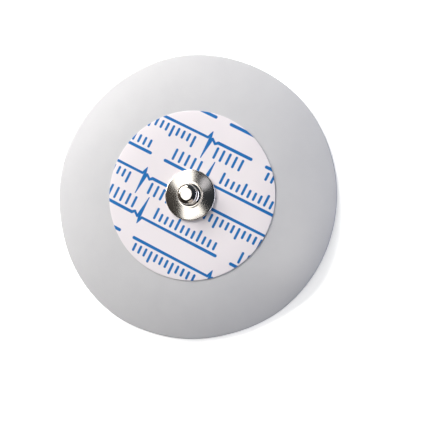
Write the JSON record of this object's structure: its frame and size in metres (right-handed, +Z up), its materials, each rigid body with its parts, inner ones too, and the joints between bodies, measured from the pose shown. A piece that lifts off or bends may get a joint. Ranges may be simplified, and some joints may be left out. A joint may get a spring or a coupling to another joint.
{
  "type": "ecg electrode",
  "caption": "Round foam-backed disposable electrode for heart traces, with a printed film label, a metal snap stud on top and a gel pad underneath.",
  "frame": {"origin": "on the table or skin, at the middle of the disc", "axes": "+Z up along the snap stud, the disc lies in XY"},
  "size_m": [0.055, 0.055, 0.0069],
  "materials": {
    "foam": "white closed-cell foam, matt",
    "label_film": "white film, satin, printed in blue",
    "nickel_plate": "bright nickel plate with fine turning marks",
    "silver_coat": "grey silver and silver chloride coat",
    "gel_sponge": "pale sponge, wet with clear gel"
  },
  "bodies": {
    "root": {"foam_backing": "foam", "top_label": "label_film", "snap_stud": "nickel_plate", "sensor_eyelet": "silver_coat", "gel_pad": "gel_sponge"}
  },
  "joints": []
}
